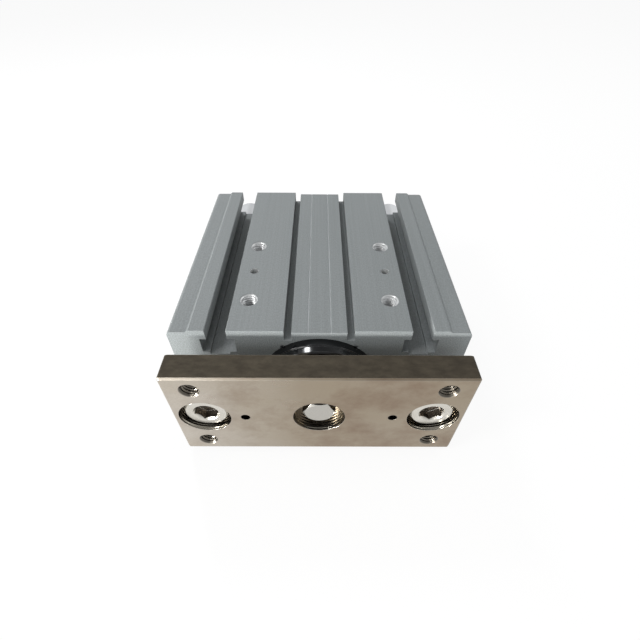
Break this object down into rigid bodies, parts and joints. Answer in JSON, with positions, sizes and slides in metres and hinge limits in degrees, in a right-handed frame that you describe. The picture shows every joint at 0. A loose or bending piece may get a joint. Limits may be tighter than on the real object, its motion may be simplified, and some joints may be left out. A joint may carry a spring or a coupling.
{
  "type": "guided pneumatic cylinder",
  "caption": "Compact pneumatic cylinder with two guide rods, a tool plate that slides out of the body, and a T-slotted mounting face.",
  "frame": {"origin": "on the resting face, midway between the two dowel holes of the slotted face", "axes": "+Y from the tool plate to the rear, along the rods; +Z from the resting face to the slotted face; +X to the right for a viewer who faces the tool plate"},
  "size_m": [0.162, 0.2095, 0.078],
  "materials": {
    "anodised_aluminium": "matte hard anodised, fine grain",
    "black_anodised": "glossy black anodised",
    "head_aluminium": "turned and anodised",
    "piston_aluminium": "turned",
    "nickel_plate": "electroless nickel on ground steel",
    "nickel_screw": "bright nickel",
    "chromed_steel": "hard chromed and ground",
    "spring_steel": "oiled black spring steel",
    "holder_steel": "zinc plated",
    "plug_steel": "plain steel with sealant",
    "bearing_bronze": "sintered bronze, oiled",
    "nitrile_rubber": "black, matte",
    "bumper_urethane": "amber urethane",
    "oiled_felt": "dense wool felt",
    "wear_resin": "bearing resin",
    "spacer_resin": "moulded resin",
    "bonded_magnet": "resin-bonded ferrite"
  },
  "bodies": {
    "housing": {"cylinder_body": "anodised_aluminium", "rod_cover": "black_anodised", "rod_cover_snap_ring": "spring_steel", "rod_cover_oring": "nitrile_rubber", "rod_bush": "bearing_bronze", "rod_seal": "nitrile_rubber", "rod_side_bumper": "bumper_urethane", "head_cover": "head_aluminium", "head_cover_oring": "nitrile_rubber", "head_side_bumper": "bumper_urethane", "head_cover_retaining_ring": "spring_steel", "side_port_plugs": "plug_steel", "guide_retaining_ring_left": "spring_steel", "wiper_holder_left": "holder_steel", "felt_wiper_left": "oiled_felt", "guide_bush_front_left": "bearing_bronze", "guide_spacer_left": "spacer_resin", "guide_bush_inner_left": "bearing_bronze", "guide_retaining_ring_right": "spring_steel", "wiper_holder_right": "holder_steel", "felt_wiper_right": "oiled_felt", "guide_bush_front_right": "bearing_bronze", "guide_spacer_right": "spacer_resin", "guide_bush_inner_right": "bearing_bronze"},
    "carriage": {"front_plate": "nickel_plate", "guide_bolts": "nickel_screw", "plate_bolt": "nickel_screw", "plate_bolt_washer": "spring_steel", "guide_rod_left": "chromed_steel", "guide_rod_right": "chromed_steel", "piston_rod": "chromed_steel", "piston": "piston_aluminium", "piston_gasket": "nitrile_rubber", "piston_seal": "nitrile_rubber", "wear_ring": "wear_resin", "magnet_ring": "bonded_magnet"}
  },
  "joints": [
    {"name": "plate_slide", "type": "slide", "parent": "housing", "child": "carriage", "axis": [0, -1, 0], "range_m": [0, 0.1]}
  ]
}
